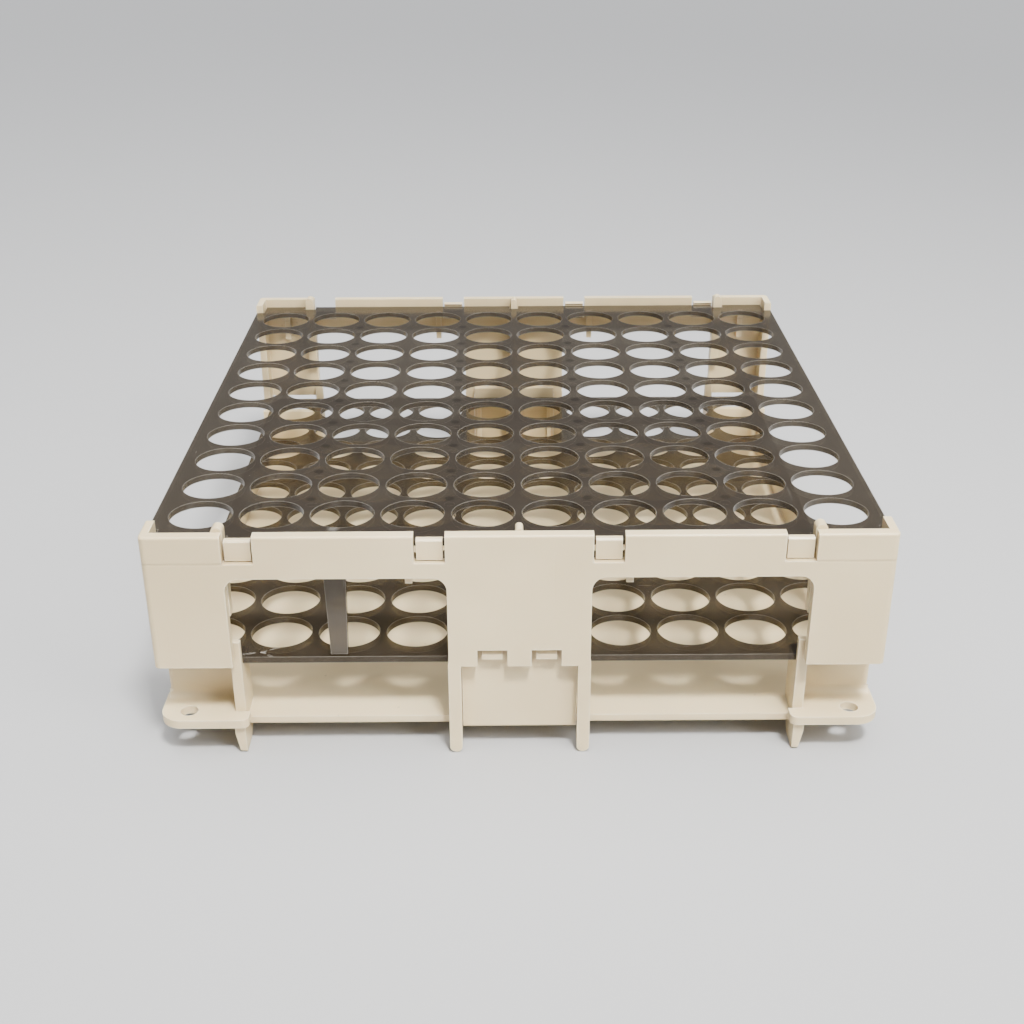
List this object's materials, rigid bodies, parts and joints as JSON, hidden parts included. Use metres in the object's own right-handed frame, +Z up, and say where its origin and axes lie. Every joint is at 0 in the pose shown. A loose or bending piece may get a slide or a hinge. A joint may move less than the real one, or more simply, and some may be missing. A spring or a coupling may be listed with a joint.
{
  "type": "test tube rack",
  "caption": "Two-tier test tube rack: smoked perforated plates between ivory windowed end panels that clip onto a shallow tray with corner ears.",
  "frame": {"origin": "centre of the footprint on the surface the rack stands on", "axes": "+Z up, +Y from the front end panel to the rear end panel, +X to the right seen from the front"},
  "size_m": [0.208, 0.2232, 0.0714],
  "materials": {
    "ivory_plastic": "satin ivory moulded plastic",
    "smoked_plastic": "smoked translucent plastic"
  },
  "bodies": {
    "base": {"tray": "ivory_plastic", "corner_bracket_front_left": "ivory_plastic", "corner_bracket_front_right": "ivory_plastic", "corner_bracket_rear_left": "ivory_plastic", "corner_bracket_rear_right": "ivory_plastic", "end_panel_front": "ivory_plastic", "end_panel_rear": "ivory_plastic", "locating_post_front_left": "ivory_plastic", "locating_post_front_right": "ivory_plastic", "locating_post_rear_left": "ivory_plastic", "locating_post_rear_right": "ivory_plastic", "centre_rib_front": "ivory_plastic", "centre_rib_rear": "ivory_plastic", "snap_catch_front_left": "ivory_plastic", "snap_catch_front_right": "ivory_plastic", "snap_catch_rear_left": "ivory_plastic", "snap_catch_rear_right": "ivory_plastic", "latch_finger_rear_left_outer": "ivory_plastic", "lower_plate": "smoked_plastic"},
    "upper_deck": {"top_plate": "smoked_plastic", "spacer_post": "smoked_plastic"},
    "latch_finger_front_left_inner": {"latch_finger_front_left_inner": "ivory_plastic"},
    "latch_finger_front_left_outer": {"latch_finger_front_left_outer": "ivory_plastic"},
    "latch_finger_front_right_inner": {"latch_finger_front_right_inner": "ivory_plastic"},
    "latch_finger_front_right_outer": {"latch_finger_front_right_outer": "ivory_plastic"},
    "latch_finger_rear_left_inner": {"latch_finger_rear_left_inner": "ivory_plastic"},
    "latch_finger_rear_right_inner": {"latch_finger_rear_right_inner": "ivory_plastic"},
    "latch_finger_rear_right_outer": {"latch_finger_rear_right_outer": "ivory_plastic"}
  },
  "joints": [
    {"name": "upper_deck_lift", "type": "slide", "parent": "base", "child": "upper_deck", "axis": [0, 0, 1], "range_m": [0, 0.045]},
    {"name": "latch_finger_front_left_inner_flex", "type": "hinge", "parent": "base", "child": "latch_finger_front_left_inner", "pos_m": [-0.0245, -0.1086, 0.06205], "axis": [1, 0, 0], "range_deg": [0, 8], "stiffness_Nm_per_rad": 0.3},
    {"name": "latch_finger_front_left_outer_flex", "type": "hinge", "parent": "base", "child": "latch_finger_front_left_outer", "pos_m": [-0.0767, -0.1086, 0.06205], "axis": [1, 0, 0], "range_deg": [0, 8], "stiffness_Nm_per_rad": 0.3},
    {"name": "latch_finger_front_right_inner_flex", "type": "hinge", "parent": "base", "child": "latch_finger_front_right_inner", "pos_m": [0.0245, -0.1086, 0.06205], "axis": [1, 0, 0], "range_deg": [0, 8], "stiffness_Nm_per_rad": 0.3},
    {"name": "latch_finger_front_right_outer_flex", "type": "hinge", "parent": "base", "child": "latch_finger_front_right_outer", "pos_m": [0.0767, -0.1086, 0.06205], "axis": [1, 0, 0], "range_deg": [0, 8], "stiffness_Nm_per_rad": 0.3},
    {"name": "latch_finger_rear_left_inner_flex", "type": "hinge", "parent": "base", "child": "latch_finger_rear_left_inner", "pos_m": [-0.0245, 0.1086, 0.06205], "axis": [-1, 0, 0], "range_deg": [0, 8], "stiffness_Nm_per_rad": 0.3},
    {"name": "latch_finger_rear_right_inner_flex", "type": "hinge", "parent": "base", "child": "latch_finger_rear_right_inner", "pos_m": [0.0245, 0.1086, 0.06205], "axis": [-1, 0, 0], "range_deg": [0, 8], "stiffness_Nm_per_rad": 0.3},
    {"name": "latch_finger_rear_right_outer_flex", "type": "hinge", "parent": "base", "child": "latch_finger_rear_right_outer", "pos_m": [0.0767, 0.1086, 0.06205], "axis": [-1, 0, 0], "range_deg": [0, 8], "stiffness_Nm_per_rad": 0.3}
  ]
}
